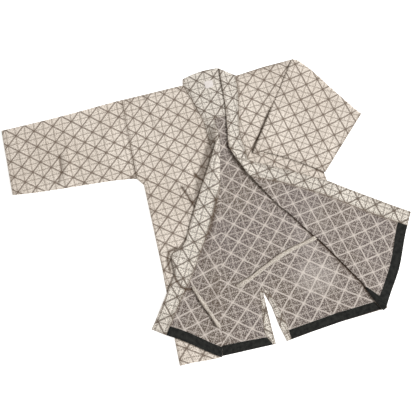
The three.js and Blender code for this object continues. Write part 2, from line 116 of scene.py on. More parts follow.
# Right front as cut: side y, side x, seam y, seam x, and where it dips, the dip of the hem
FRONT_RIGHT = [
    (36, -257, 33, -75), (12, -258.7, 12, -69), (-14, -260.5, -14, -61), (-53, -263.2, -53, -51),
    (-84, -265.3, -84, -44), (-130, -268.5, -130, -42), (-165, -270.9, -165, -41.3),
    (-195, -273, -195, -41.3), (-218, -257, -218, -41.8), (-260, -258.5, -260, -42.4),
    (-300, -260, -300, -43), (-350, -262, -350, -42), (-400, -264, -400, -41), (-480, -267, -480, -31),
    (-560, -273, -560, -21), (-640, -280, -640, -5), (-690, -283.5, -676, 0),
    (-724, -285.4, -705, 4.4, 13), (-752, -287, -733, 8, 13),
]
DIP_RIGHT = (0.42, 0.9)

# Left front as cut: seam y, seam x, side y, side x, and where it dips, the dip of the hem
FRONT_LEFT = [
    (22, 80, 27, 250), (-20, 76, -20, 252.6), (-76, 63, -76, 255.7), (-133, 50, -133, 258.8),
    (-169, 48, -169, 260.8), (-190, 47.3, -190, 262), (-212, 47, -212, 252), (-240, 46.5, -240, 253.5),
    (-270, 46, -270, 255.4), (-290, 43.5, -292, 256.5), (-311, 41, -320, 258), (-362, 37, -370, 263),
    (-416, 38, -420, 268), (-477, 40, -475, 277.5), (-515, 43, -503, 282.2), (-553, 46, -530, 287),
    (-600, 53, -585, 299), (-647, 58, -640, 311), (-690, 60.5, -684, 321), (-721, 62.7, -717, 324.5, 11),
    (-750, 65.3, -744, 330, 11),
]
DIP_LEFT = (0.5, 1.0)

# Collar bands as cut: start y, start x, end y, end x
LAPEL_RIGHT = [
    (-84.5, -44, -84.5, -12), (-105, -43, -105, -12.5), (-125, -42.2, -125, -9.5),
    (-140, -41.8, -140, -5), (-155, -41.5, -155, -0.5), (-165, -41.3, -165, 0.2),
    (-195, -41.3, -195, 1.5), (-230, -42, -230, 3.5), (-260, -42.4, -260, 6.5), (-300, -43, -300, 10),
    (-350, -42, -350, 13.5), (-400, -41, -400, 16), (-455, -34, -455, 17), (-474, -32, -474, 24),
    (-486, -30, -486, 38), (-500, -29, -499, 46), (-520, -27, -517, 44), (-545, -24, -542, 31),
    (-560, -21, -556, 27), (-640, -5, -634, 38.5), (-676, 0, -670, 44), (-705, 4.4, -699, 48.5),
    (-733, 8, -727, 54),
]
LAPEL_LEFT = [
    (53, 38.5, 22.5, 80), (21, 35, 2, 78), (-20, 32, -20, 76), (-52, 28.5, -50, 69), (-84, 24.2, -76, 63),
    (-133, 15.5, -133, 50), (-152, 11, -152, 49), (-169, 8, -169, 48), (-205, 10, -205, 47.2),
    (-240, 6, -240, 46.5), (-270, 3, -270, 46), (-296, 1.4, -290, 43.5), (-320, 0, -311, 41),
    (-380, -2, -362, 37), (-440, -2, -416, 38), (-495, -1, -477, 40), (-528, 3.2, -515, 43),
    (-560, 6.5, -553, 46), (-605, 11, -600, 53), (-652, 15.5, -647, 58), (-690, 19.5, -690, 60.5),
    (-717, 21.5, -721, 62.7), (-749, 24, -750, 65.3),
]

# Right sleeve from cuff to armhole: top x, top y, low x, low y, height
SLEEVE_RIGHT = [
    (-617, 37, -632, -151, 6.6), (-560, 35.5, -572, -160, 6.2), (-500, 34.5, -506, -167, 5.8),
    (-440, 34, -444, -173, 5.6), (-380, 34.5, -382, -179, 5.4), (-320, 35.5, -327, -185, 5.0),
    (-285, 36, -297, -190, 4.2), (-257.3, 36, -273.3, -195, 3.5),
]

# Left sleeve from the pleat to the cuff: top x, top y, low x, low y, how far it is still raised
SLEEVE_LEFT = [
    (252, 25, 75, -208, 1.0), (263, 19, 92, -206, 1.0), (279, 2, 109, -214, 0.9),
    (302, -27, 140, -231, 0.4), (334, -76, 178, -254, 0.06), (364, -120, 214, -279, 0.0),
    (385, -151, 238, -296, 0.0), (404, -176, 261, -313, 0.0),
]
SLEEVE_HEIGHT = 4.0
PLEAT_ROLL = 2.4
PLEAT_TUCK = 26.0
ROLL_STEPS = 10
ROLL_SWELL = 1.2
SLEEVE_SETTLE_START = 14.0

# Where the lattice of the weave lies on each stretch of cloth, fitted to the photo.
# Two counts of lattice steps, each as a constant, x, y, xx, xy and yy term, in units of 100 mm.
LATTICE = {
    "chest_right": ((-165, -162), (1.54, 1.815, -2.133, -0.007, 0.083, -0.065),
        (3.571, -1.898, -2.166, -0.022, -0.058, 0.006)),
    "sleeve_right": ((-437, -74), (-0.413, 1.831, -2.3, 0.009, -0.01, -0.011),
        (0.193, -1.8, -2.137, 0.009, -0.008, 0.071)),
    "back": ((51, -528), (3.893, 1.712, -1.69, 0.043, 0.088, -0.051),
        (3.179, -1.623, -1.945, -0.009, -0.106, -0.026)),
    "turned_right": ((-180, -578), (0.983, 2.288, 0.645, -0.013, 0.063, 0.023),
        (-2.46, 0.56, -2.44, 0.027, 0.004, -0.011)),
    "turned_left": ((266, -495), (-0.628, 2.664, 0.657, -0.041, -0.063, -0.017),
        (0.478, 0.346, -2.568, 0.07, 0.115, -0.015)),
    "chest_left": ((125, -63), (0.511, 1.927, -2.067, -0.006, 0.019, -0.096),
        (0.854, -1.952, -2.374, -0.051, -0.053, -0.059)),
    "sleeve_left": ((249, -160), (-1.317, 2.685, 0.668, -0.008, 0.068, 0.019),
        (1.01, 0.475, -2.957, 0.11, 0.03, -0.003)),
}


def smooth(value):
    """Rises softly from 0 to 1."""
    t = np.clip(value, 0.0, 1.0)
    return t * t * (3 - 2 * t)


def lookup(table, place):
    """The second column of a table at each place in its first."""
    rows = sorted(table)
    return np.interp(place, [r[0] for r in rows], [r[1] for r in rows])


def lattice(stretch, x, y):
    """The two lattice counts of points of a stretch of cloth, as an array of pairs."""
    (cx, cy), first, second = LATTICE[stretch]
    u = (x - cx) / 100.0
    v = (y - cy) / 100.0
    terms = (np.ones_like(u), u, v, u * u, u * v, v * v)
    return np.stack([sum(c * t for c, t in zip(row, terms)) for row in (first, second)], axis=-1)


def ripple(x, y, seed):
    """A soft uneven swell between about -1 and 1."""
    total = np.zeros_like(x)
    for k in range(5):
        turn = seed * 1.7 + k * 2.4
        length = 62.0 + 23.0 * k
        along = x * math.cos(turn) + y * math.sin(turn)
        total = total + np.sin(along * 2 * math.pi / length + seed * 3.1 + k * 1.9)
    return total / 3.0


def crease(x, y, start, end, width, height):
    """A soft ridge, or a trough where height is below nought, from one point to another."""
    ax, ay = start
    dx = end[0] - ax
    dy = end[1] - ay
    length = math.hypot(dx, dy)
    along = ((x - ax) * dx + (y - ay) * dy) / length**2
    aside = ((x - ax) * dy - (y - ay) * dx) / length
    taper = smooth(along / 0.3) * smooth((1 - along) / 0.3)
    return height * np.exp(-((aside / width) ** 2)) * taper


def near_path(x, y, points):
    """How far each place lies from a path of points."""
    best = np.full(np.shape(x), 1e9)
    for (ax, ay), (bx, by) in zip(points[:-1], points[1:]):
        dx = bx - ax
        dy = by - ay
        along = np.clip(((x - ax) * dx + (y - ay) * dy) / (dx * dx + dy * dy), 0, 1)
        best = np.minimum(best, np.hypot(x - ax - along * dx, y - ay - along * dy))
    return best


def grooves(x, y, marks):
    """The height, and the painted shade, of a set of sharp creases and painted shadows."""
    height = np.zeros(np.shape(x))
    shade = np.zeros(np.shape(x))
    for points, width, depth, dark in marks:
        near = np.exp(-((near_path(x, y, points) / width) ** 2))
        height = height - depth * near
        shade = np.maximum(shade, dark * near)
    return height, shade


class Fold:
    """The line a front turns over on, with its roll and its bow at places down it."""

    def __init__(self, start, end, turned, side, side_sign, roll, bow):
        self.start = start
        length = math.hypot(end[0] - start[0], end[1] - start[1])
        self.along = ((end[0] - start[0]) / length, (end[1] - start[1]) / length)
        self.across = (-self.along[1] * turned, self.along[0] * turned)
        self.roll = roll
        self.bow = bow
        self.side = side
        self.side_sign = side_sign

    def past(self, x, y):
        """How far a point lies past the fold, on its turned side."""
        return (x - self.start[0]) * self.across[0] + (y - self.start[1]) * self.across[1]

    def down(self, x, y):
        """How far down the fold a point lies."""
        return (x - self.start[0]) * self.along[0] + (y - self.start[1]) * self.along[1]

    def bowed(self, down):
        """How far inward of its straight line the fold lies at each place down it."""
        return lookup(self.bow, down)

    def settled(self, x, y):
        """1 where a turned front lies on the surface beyond the body's side."""
        beyond = (x - lookup(self.side, y)) * self.side_sign
        return smooth((beyond - SETTLE_START) / SETTLE_WIDTH)

    def turn(self, x, y, mid, floor_mid):
        """Points of the cut, rolled over the fold, with mid the height of the unturned layer."""
        past = self.past(x, y)
        angle = np.clip(past / ROLL, 0.0, math.pi)
        back = np.maximum(past - ROLL_LENGTH, 0.0)
        beyond = np.maximum(past, 0.0)
        down = self.down(x, y)
        places = [r[0] for r in self.roll]
        radius = np.interp(down, places, [r[1] for r in self.roll])
        bulge = np.interp(down, places, [r[2] for r in self.roll])
        centre = FRONT_MID + radius
        arm = centre - mid
        out = (arm - radius + ROLL + bulge) * np.sin(angle) - back
        px = x - beyond * self.across[0] + out * self.across[0]
        py = y - beyond * self.across[1] + out * self.across[1]
        bow = self.bowed(down) * np.exp(-((self.past(px, py) / BOW_REACH) ** 2))
        px = px - bow * self.across[0]
        py = py - bow * self.across[1]
        pz = centre - arm * np.cos(angle)
        pz = pz - (2 * centre - TURNED_SUM) * smooth(back / FALL_WIDTH)
        turned = past > 0
        amount = np.where(turned, self.settled(px, py), 0.0)
        pz = pz * (1 - amount) + floor_mid * amount
        return px, py, pz


# Rolls: place down the fold, radius and bulge. Bows: place down the fold, and how far inward it lies
FOLD_RIGHT = Fold((-7, -118), (-166, -757), 1, BODY_SIDE_RIGHT, -1, [(0, 2.4, 0), (660, 2.2, 0)], [(0, 0)])
FOLD_LEFT = Fold(
    (10, -205), (322, -738), -1, BODY_SIDE_LEFT, 1,
    [(0, 7.0, 0), (50, 6.6, 0), (100, 4.2, 0), (170, 2.6, 0), (545, 2.4, 0), (605, 4.6, 6)],
    [(-46, 0), (-26, 1.5), (-12, 5), (0, 9), (30, 8), (55, 3), (110, 1), (190, 0), (215, 4), (255, 8),
     (300, 8.6), (337, 12.4), (357, 14.4), (520, 14.4), (545, 11), (580, 8), (617, 9)])


def rows_between(table, step=STEP):
    """Rows of a cut table, filled in so that they stand about a step apart, each with its dip."""
    table = np.array([(*row, 0)[:5] for row in table], dtype=float)
    rows = []
    for a, b in zip(table[:-1], table[1:]):
        reach = max(abs(b[0] - a[0]), abs(b[2] - a[2]), math.hypot(b[2] - a[2], b[3] - a[3]))
        count = max(1, round(reach / step))
        for k in range(count):
            rows.append(a + (b - a) * k / count)
    rows.append(table[-1])
    return np.array(rows)


def row_points(rows, fractions, dip_at):
    """The x and y in the cut of each fraction of each row."""
    x = rows[:, 1:2] + (rows[:, 3:4] - rows[:, 1:2]) * fractions
    y = rows[:, 0:1] + (rows[:, 2:3] - rows[:, 0:1]) * fractions
    rise = smooth(fractions / dip_at[0])
    fall = 1 - smooth((fractions - dip_at[0]) / (dip_at[1] - dip_at[0]))
    return x, y - rows[:, 4:5] * np.minimum(rise, fall)


def fold_columns(fold, rows, dip_at, before, rolled, after):
    """Fractions along each row: so many before the roll, through it and after it."""
    fine = np.linspace(0, 1, FINE_STEPS)[None, :] * np.ones((len(rows), 1))
    past = fold.past(*row_points(rows, fine, dip_at))
    fractions = np.empty((len(rows), before + rolled + after + 1))
    for k, line in enumerate(past):
        order = np.argsort(line)
        ends = sorted(np.interp([0.0, ROLL_LENGTH], line[order], fine[k][order]))
        low = min(max(ends[0], 0.004), 0.988)
        high = min(max(ends[1], low + 0.004), 0.996)
        fractions[k] = np.concatenate([
            np.linspace(0, low, before + 1)[:-1],
            np.linspace(low, high, rolled + 1)[:-1],
            np.linspace(high, 1, after + 1)])
    return fractions


def select_only(piece):
    """Makes one object the selected and active one."""
    bpy.ops.object.select_all(action="DESELECT")
    piece.select_set(True)
    bpy.context.view_layer.objects.active = piece


def set_mode(mode):
    """Enters edit or object mode."""
    bpy.ops.object.mode_set(mode=mode)


def running_length(points, axis):
    """How far each point of a grid lies along its row (axis 1) or column (axis 0)."""
    steps = np.linalg.norm(np.diff(points, axis=axis), axis=-1)
    return np.insert(np.cumsum(steps, axis=axis), 0, 0, axis=axis)


def sewn_edges(x, y, z, borders):
    """How far each point is from the nearest sewn border of its sheet, and how far along it."""
    points = np.stack([x, y, z], axis=-1)
    across = running_length(points, 1)
    down = running_length(points, 0)
    found = {"start": (across, down), "end": (across[:, -1:] - across, down),
             "top": (down, across), "bottom": (down[-1:] - down, across)}
    best = np.full(np.shape(x), FAR)
    along = np.zeros(np.shape(x))
    for border in borders:
        reach, run = found[border]
        nearer = reach < best
        best = np.where(nearer, reach, best)
        along = np.where(nearer, run, along)
    return np.stack([best, along], axis=-1), np.stack([across, down], axis=-1)


def grid_piece(name, x, y, z, weave, borders=(), shade=None):
    """A cloth sheet through rows of points, with the UV maps weave, sewn and run, and its shade."""
    sewn, run = sewn_edges(x, y, z, borders)
    rows, columns = x.shape[0] - 1, x.shape[1] - 1
    bpy.ops.object.select_all(action="DESELECT")
    bpy.ops.mesh.primitive_grid_add(x_subdivisions=columns, y_subdivisions=rows, size=2)
    piece = bpy.context.object
    piece.name = name
    mesh = piece.data
    flat = np.empty(len(mesh.vertices) * 3)
    mesh.vertices.foreach_get("co", flat)
    column = np.rint((flat[0::3] + 1) / 2 * columns).astype(int)
    row = rows - np.rint((flat[1::3] + 1) / 2 * rows).astype(int)
    points = np.stack([x, y, z], axis=-1) * MM + SHIFT
    mesh.vertices.foreach_set("co", points[row, column].ravel())
    corner = np.empty(len(mesh.loops), dtype=int)
    mesh.loops.foreach_get("vertex_index", corner)
    mesh.uv_layers[0].name = "weave"
    mesh.uv_layers.new(name="sewn")
    mesh.uv_layers.new(name="run")
    for layer, values in (("weave", weave), ("sewn", sewn * MM), ("run", run * MM)):
        mesh.uv_layers[layer].data.foreach_set("uv", values[row, column][corner].ravel())
    dark = np.zeros(np.shape(x)) if shade is None else shade
    stored = mesh.attributes.new("shade", "FLOAT", "POINT")
    stored.data.foreach_set("value", dark[row, column].ravel())
    mesh.update()
    return piece


def thicken(piece, thickness, materials):
    """Gives a sheet its thickness: a material for its upper side, its under side and its rim."""
    for material in materials:
        piece.data.materials.append(material)
    select_only(piece)
    bpy.ops.object.modifier_add(type="SOLIDIFY")
    solid = piece.modifiers[-1]
    solid.thickness = thickness * MM
    solid.offset = 0.0
    solid.material_offset = 1
    solid.material_offset_rim = 2
    bpy.ops.object.modifier_apply(modifier=solid.name)
    bpy.ops.object.shade_smooth_by_angle(angle=math.radians(50))
    return piece


def set_inputs(node, **values):
    """Sets inputs of a node by name, with an underscore for each space."""
    for key, value in values.items():
        node.inputs[key.replace("_", " ")].default_value = value


class Shader:
    """Builds a procedural material node by node."""

    def __init__(self, name, roughness, sheen):
        self.material = bpy.data.materials.new(name)
        self.material.use_nodes = True
        self.tree = self.material.node_tree
        self.surface = self.tree.nodes["Principled BSDF"]
        set_inputs(self.surface, Roughness=roughness, Sheen_Weight=sheen, Specular_IOR_Level=0.2)

    def node(self, kind, **settings):
        new = self.tree.nodes.new(kind)
        for key, value in settings.items():
            setattr(new, key, value)
        return new

    def put(self, socket, value):
        if isinstance(value, (int, float, tuple)):
            socket.default_value = value
        else:
            self.tree.links.new(value, socket)

    def maths(self, operation, *values):
        new = self.node("ShaderNodeMath", operation=operation)
        for socket, value in zip(new.inputs, values):
            self.put(socket, value)
        return new.outputs[0]

    def times(self, first, second):
        return self.maths("MULTIPLY", first, second)

    def add_scaled(self, value, scale, extra):
        return self.maths("MULTIPLY_ADD", value, scale, extra)

    def wave(self, value, turns):
        return self.maths("SINE", self.times(value, turns))

    def distance(self, value, middle):
        return self.maths("ABSOLUTE", self.maths("SUBTRACT", value, middle))

    def ramp(self, value, low, high, low_out=1.0, high_out=0.0):
        new = self.node("ShaderNodeMapRange", interpolation_type="SMOOTHSTEP")
        for key, amount in (("Value", value), ("From Min", low), ("From Max", high),
                            ("To Min", low_out), ("To Max", high_out)):
            self.put(new.inputs[key], amount)
        return new.outputs["Result"]

    def blend(self, factor, first, second):
        new = self.node("ShaderNodeMix", data_type="RGBA")
        self.put(new.inputs["Factor"], factor)
        self.put(new.inputs["A"], first)
        self.put(new.inputs["B"], second)
        return new.outputs["Result"]

    def noise(self, vector, scale, detail=2.0):
        new = self.node("ShaderNodeTexNoise")
        set_inputs(new, Scale=scale, Detail=detail)
        self.put(new.inputs["Vector"], vector)
        return new.outputs["Fac"]

    def uv(self, name):
        return self.node("ShaderNodeUVMap", uv_map=name).outputs[0]

    def stored_shade(self):
        return self.node("ShaderNodeAttribute", attribute_name="shade").outputs["Fac"]

    def split(self, vector):
        new = self.node("ShaderNodeSeparateXYZ")
        self.put(new.inputs[0], vector)
        return new.outputs[0], new.outputs[1]

    def near_line(self, value):
        """How far a count is from the nearest whole number."""
        return self.distance(self.maths("FRACT", self.maths("ADD", value, 0.5)), 0.5)

    def bump(self, height, distance, strength):
        new = self.node("ShaderNodeBump")
        set_inputs(new, Distance=distance, Strength=strength)
        self.put(new.inputs["Height"], height)
        self.put(self.surface.inputs["Normal"], new.outputs[0])


def colour(red, green, blue):
    """An sRGB colour of 0 to 255 as the linear one that a shader takes."""
    def linear(c):
        c = c / 255.0
        return c / 12.92 if c <= 0.04045 else ((c + 0.055) / 1.055) ** 2.4
    return (linear(red), linear(green), linear(blue), 1.0)


# Stitch rows lie this far inside a sewn edge, in metres
STITCH_IN = 0.0048
STITCH_PITCH = 0.0046
# Colour of the stitches, and of the painted shade along every sewn edge
STITCH_AND_EDGE_SHADE_COLOUR = colour(108, 92, 76)
# Painted shade: the warm brown that the stored shade darkens cloth towards, in creases and where shadows
# fall
PAINTED_SHADE_COLOUR = colour(70, 48, 24)
# Painted light: the pale colour that stored shade below nought lightens cloth towards
PAINTED_LIGHT_COLOUR = colour(250, 242, 236)

# How far the lattice lines wander, in counts, and how close its dots, checks and threads are
WANDER = 0.10
DOT_TURNS = 38.0
CHECK_TURNS = 44.0
THREAD_TURNS = 150.0
THIN_LINE = (0.03, 0.10)


def figured_cloth(name, colours, amounts):
    """The jacket cloth: a diamond lattice with dotted diagonals, specks and a close weave."""
    ground, tint, line, thin, speck = (colour(*c) for c in colours)
    speck_amount, thin_amount, bold_amount, narrow, wide = amounts
    s = Shader(name, 0.92, 0.12)
    weave = s.uv("weave")
    i, j = s.split(weave)
    i = s.add_scaled(s.maths("SUBTRACT", s.noise(weave, 2.3), 0.5), WANDER, i)
    j = s.add_scaled(s.maths("SUBTRACT", s.noise(weave, 3.1), 0.5), WANDER, j)
    near_i = s.near_line(i)
    near_j = s.near_line(j)
    bold = s.maths("MAXIMUM", s.ramp(near_i, narrow, wide), s.ramp(near_j, narrow, wide))
    across = s.maths("ADD", i, j)
    along = s.maths("SUBTRACT", i, j)
    dots = s.add_scaled(s.wave(along, DOT_TURNS), 0.4, 0.6)
    dots_up = s.add_scaled(s.wave(across, DOT_TURNS), 0.4, 0.6)
    fine = s.times(s.ramp(s.near_line(across), *THIN_LINE), dots)
    fine_up = s.times(s.ramp(s.near_line(along), *THIN_LINE), dots_up)
    star = s.times(s.ramp(s.maths("ADD", near_i, near_j), 0.06, 0.26), 0.55)
    thin_lines = s.maths("MAXIMUM", s.maths("MAXIMUM", fine, fine_up), star)
    checks = s.times(s.wave(i, CHECK_TURNS), s.wave(j, CHECK_TURNS))
    grain = s.add_scaled(checks, 0.10, s.noise(weave, 13.0, 3.0))
    specks = s.times(s.ramp(grain, 0.51, 0.62, 0.0, 1.0), speck_amount)
    broad = s.noise(s.node("ShaderNodeTexCoord").outputs["Object"], 6.0)
    base = s.blend(s.ramp(broad, 0.35, 0.65, 0.0, 0.8), ground, tint)
    base = s.blend(specks, base, speck)
    base = s.blend(s.times(thin_lines, thin_amount), base, thin)
    uneven = s.ramp(s.noise(weave, 8.0), 0.3, 0.7, 0.7 * bold_amount, bold_amount)
    base = s.blend(s.times(bold, uneven), base, line)
    reach, run = s.split(s.uv("sewn"))
    from_stitch = s.distance(s.maths("FRACT", s.maths("DIVIDE", run, STITCH_PITCH)), 0.5)
    on_row = s.ramp(s.distance(reach, STITCH_IN), 0.0004, 0.0011)
    stitch = s.times(on_row, s.ramp(from_stitch, 0.22, 0.40))
    base = s.blend(s.times(stitch, 0.75), base, STITCH_AND_EDGE_SHADE_COLOUR)
    # Painted shade along each sewn edge, darkest at the edge
    base = s.blend(s.ramp(reach, 0.0006, 0.0040, 0.6, 0.0), base, STITCH_AND_EDGE_SHADE_COLOUR)
    # Painted shade and painted light stored on the points: darker towards the painted shade colour, and
    # below nought lighter towards the painted light colour
    shade = s.stored_shade()
    base = s.blend(shade, base, PAINTED_SHADE_COLOUR)
    base = s.blend(s.times(shade, -1.0), base, PAINTED_LIGHT_COLOUR)
    s.put(s.surface.inputs["Base Color"], base)
    threads = s.times(s.wave(across, THREAD_TURNS), s.wave(along, THREAD_TURNS))
    height = s.add_scaled(threads, 0.25, s.times(bold, 0.8))
    height = s.add_scaled(specks, 0.4, height)
    height = s.add_scaled(stitch, -1.6, height)
    s.bump(height, 0.0006, 0.7)
    return s.material


def plain_cloth(name, base, shade, pitch, roughness=0.9, mottling=90.0):
    """A close plain weave for tape, ties, label and cut edges, with its pitch in metres, darkened by the
    painted shade stored on its points.
    """
    s = Shader(name, roughness, 0.1)
    run = s.uv("run")
    x, y = s.split(run)
    turns = 2 * math.pi / pitch
    cloth = s.times(s.wave(x, turns), s.wave(y, turns))
    tone = s.add_scaled(cloth, 0.18, s.noise(run, mottling, 3.0))
    mixed = s.blend(s.ramp(tone, 0.25, 0.75, 0.0, 1.0), base, shade)
    # Painted shade stored on the points, such as the shadow beside a tie, darkens the weave
    s.put(s.surface.inputs["Base Color"], s.blend(s.stored_shade(), mixed, PAINTED_SHADE_COLOUR))
    s.bump(cloth, 0.0003, 0.6)
    return s.material


# Ground, tint, lattice lines, thin lines and specks. Then the strength of specks, thin lines and
# lattice lines, and how near a lattice line it is full and gone
OUTSIDE = figured_cloth(
    "outside_cloth", ((244, 234, 223), (233, 222, 210), (110, 95, 83), (118, 103, 90), (137, 121, 107)),
    (0.72, 0.86, 0.93, 0.027, 0.084))
BAND_CLOTH = figured_cloth(
    "band_cloth", ((243, 236, 226), (237, 229, 218), (98, 85, 74), (98, 85, 74), (92, 80, 69)),
    (0.80, 0.90, 0.94, 0.028, 0.084))
INSIDE = figured_cloth(
    "inside_cloth", ((99, 87, 78), (99, 88, 87), (218, 208, 200), (208, 198, 190), (216, 207, 199)),
    (0.78, 0.74, 0.90, 0.022, 0.078))
RIM = plain_cloth("cut_edge", colour(226, 216, 203), colour(196, 184, 168), 0.0016)
TAPE_CLOTH = plain_cloth("hem_tape", colour(10, 11, 11), colour(44, 45, 42), 0.0022, 0.8)
TIE_CLOTH = plain_cloth("tie_cloth", colour(244, 237, 227), colour(128, 113, 98), 0.0034, mottling=300.0)
LABEL_CLOTH = plain_cloth("label_cloth", colour(242, 236, 233), colour(228, 220, 216), 0.0012)

# Upper side, under side and rim of each kind of sheet
CLOTH_UP = (OUTSIDE, INSIDE, RIM)
CLOTH_DOWN = (INSIDE, OUTSIDE, RIM)
BAND_ALL = (BAND_CLOTH,) * 3
TAPE_ALL = (TAPE_CLOTH,) * 3
TIE_ALL = (TIE_CLOTH,) * 3
LABEL_ALL = (LABEL_CLOTH,) * 3


def band_reach(down):
    """How far past the right fold the free edge of its band lies, at each place down it."""
    y, x = np.array(LAPEL_RIGHT, dtype=float).T[2:]
    return lookup(list(zip(FOLD_RIGHT.down(x, y), FOLD_RIGHT.past(x, y))), down)


def finish_cloth(piece, thickness, materials, node):
    """Thickens a sheet and hands it to the frame."""
    thicken(piece, thickness, materials)
    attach(piece, "root")
    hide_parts(node)


# Free edge of the right band once it is turned, by y
FREE_EDGE = [
    (-84, -13), (-116, -15), (-144, -22), (-165, -34), (-183, -44), (-209, -60), (-235, -76), (-252, -89),
    (-273, -103), (-299, -119), (-317, -130), (-337, -144), (-376, -166), (-415, -191), (-532, -269),
    (-631, -340),
]

# Sharp creases and painted shadows: a path, its width, its depth and how much painted shade it gets
PAINTED_SHADOWS_LEFT = [
    # Painted shadows under the left sleeve's low edge and beside its pleat, with no depth
    ([(120, -222), (172, -253)], 2.8, 0.0, 0.36),
    ([(172, -253), (205, -274), (223, -287), (258, -314)], 3.4, 0.0, 0.62),
    ([(74, -201), (113, -150), (151, -101)], 5.0, 0.0, 0.72),
]
CREASES_CHEST = [
    ([(-153, -251), (-142, -282), (-131, -316)], 3.8, 2.6, 0.95),
    ([(-106, -224), (-98, -238), (-87, -251)], 4.6, 3.0, 0.95),
    ([(-186, -162), (-173, -183)], 3.0, 1.6, 0.4),
    ([(-212, -418), (-236, -423), (-246, -446), (-246, -478)], 4.2, 0.8, 0.85),
    ([(-258, -70), (-268, -101), (-271, -138), (-273, -191)], 3.0, 0.8, 0.26),
    ([(-196, 40), (-190, -24), (-176, -92)], 4.0, 1.0, 0.24),
]
CREASES_AND_SHADOWS_TURNED_RIGHT = [
    ([(-240, -470), (-238, -492), (-235, -510), (-227, -529), (-215, -541), (-198, -545)],
     4.4, 2.8, 0.92),
    ([(-199, -424), (-214, -431), (-222, -446)], 3.2, 1.6, 0.35),
    # Painted shadow beside the right band's edge, then soft painted shade on the turned front, the last
    # right of the short tie
    ([(-64, -300), (-76, -340), (-92, -372), (-110, -403)], 7.0, 1.6, 0.5),
    ([(-110, -403), (-128, -440), (-150, -480)], 9.0, 0.8, 0.24),
    ([(-122, -540), (-134, -571), (-142, -606)], 15.0, 1.2, 0.2),
]
CREASES_AND_SHADOWS_NECK = [
    # Painted shadow beside the neck band's edge, where the left band stands over it
    ([(36, 52), (33, 21), (30, -10)], 4.0, 0.8, 0.35),
    ([(-70, 40), (-60, 10), (-48, -30), (-42, -70)], 3.4, 0.8, 0.2),
]
CREASES_SLEEVE_RIGHT = [
    ([(-472, -76), (-477, -116), (-496, -152)], 4.8, 1.8, 0.6),
    ([(-266, -80), (-270, -140), (-275, -190)], 4.0, 1.0, 0.28),
]


def chest_lift(px, py):
    """How far the right front stands off the back beside its turned band, and the painted shadow on its
    slope.
    """
    left_of_edge = (lookup(FREE_EDGE, py) - px) * 0.87
    from_fold = -FOLD_RIGHT.past(px, py)
    slope = (1 - smooth(left_of_edge / 27)) * smooth(from_fold / 9)
    run = smooth((-84 - py) / 45) * (1 - smooth((-py - 262) / 95))
    reach = np.interp(py, [-330, -280, -205, -168, -118, -84], [6, 14, 30, 30, 26, 14])
    # Painted shadow on the slope left of the turned band
    shaded = (1 - smooth((left_of_edge - reach * 0.62) / (reach * 0.38))) * smooth((left_of_edge + 3) / 3)
    return 12.0 * slope * run, 0.44 * shaded * smooth((-88 - py) / 30) * (1 - smooth((-py - 285) / 50))


def right_relief(px, py, past):
    """Swells and creases of the right front, unturned and turned, with the painted shade of its creases and
    the painted shadows on it.
    """
    margin = -past - band_reach(FOLD_RIGHT.down(px, py)) - 4
    open_cloth = smooth(margin / 26) * (past < 0)
    swell = open_cloth * (0.8 + 0.8 * ripple(px, py, 1.0))
    swell = swell + open_cloth * crease(px, py, (-185, -205), (-100, -310), 9, 2.6)
    swell = swell + open_cloth * crease(px, py, (-145, -150), (-112, -235), 7, 2.0)
    cut_in, dark = grooves(px, py, CREASES_CHEST)
    swell = swell + cut_in * open_cloth
    turned = (past > ROLL_LENGTH) * smooth(past / 60)
    cut_turned, dark_turned = grooves(px, py, CREASES_AND_SHADOWS_TURNED_RIGHT)
    swell = swell + turned * (0.5 + 0.6 * ripple(px, py, 4.0) + cut_turned)
    swell = swell + turned * crease(px, py, (-222, -430), (-222, -525), 10, 3.0)
    lift, shaded = chest_lift(px, py)
    shade = np.where(past < 0, np.maximum(dark, shaded), dark_turned * smooth((past - ROLL_LENGTH) / 4))
    return np.maximum(swell + lift, 0.0), shade


def left_relief(px, py, past):
    """Swells of the left front: the shoulder left of the sleeve, and the turned part, with painted shadows
    under the sleeve and beside its pleat, less a patch of painted light on the turned part.
    """
    beside = (px - 75) * 0.796 - (py + 208) * 0.605
    shoulder = smooth((-beside - 8) / 30) * (past < 0) * smooth((-past - 6) / 30)
    turned = (past > ROLL_LENGTH) * smooth(past / 80)
    swell = shoulder * (0.5 + 0.6 * ripple(px, py, 2.0)) + turned * (0.6 + 0.8 * ripple(px, py, 3.0))
    up_the_pleat = ((px - 75) * 0.605 + (py + 208) * 0.796) / 292
    rise = smooth((-beside - 1) / 4) * (1 - smooth((-beside - 10) / 42)) * (past < 0)
    beside_pleat = smooth((up_the_pleat - 0.42) / 0.14) * (1 - smooth((up_the_pleat - 0.96) / 0.06))
    swell = swell + 3.6 * rise * beside_pleat
    # Painted light: a pale patch on the turned part, stored as shade below nought
    pale = 0.10 * smooth(1.5 - np.hypot((px - 196) / 34, (py + 462) / 56)) * turned
    return np.maximum(swell, 0.0), grooves(px, py, PAINTED_SHADOWS_LEFT)[1] - pale


def band_right_relief(px, py, past, fractions):
    """The right band's free edge stands a little further off the chest."""
    swell, shade = right_relief(px, py, past)
    edge = np.clip((fractions - 0.1) / 0.9, 0, 1) ** 1.4
    run = smooth((py + 640) / 200) * smooth((-84 - py) / 50)
    return swell + (past > 0) * 2.0 * run * edge * (1 - FOLD_RIGHT.settled(px, py)), shade


def band_left_relief(px, py, past, fractions):
    """The left band's front edge stands off the back beside the neck."""
    swell, shade = left_relief(px, py, past)
    lift = np.interp(py, [-250, -205, -170, -140, -84, 30, 60], [12.0, 9.0, 6.0, 3.4, 3.6, 3.9, 3.2])
    return swell + (past < 0) * lift * (1 - fractions) ** 1.6 * smooth((py + 262) / 20), shade


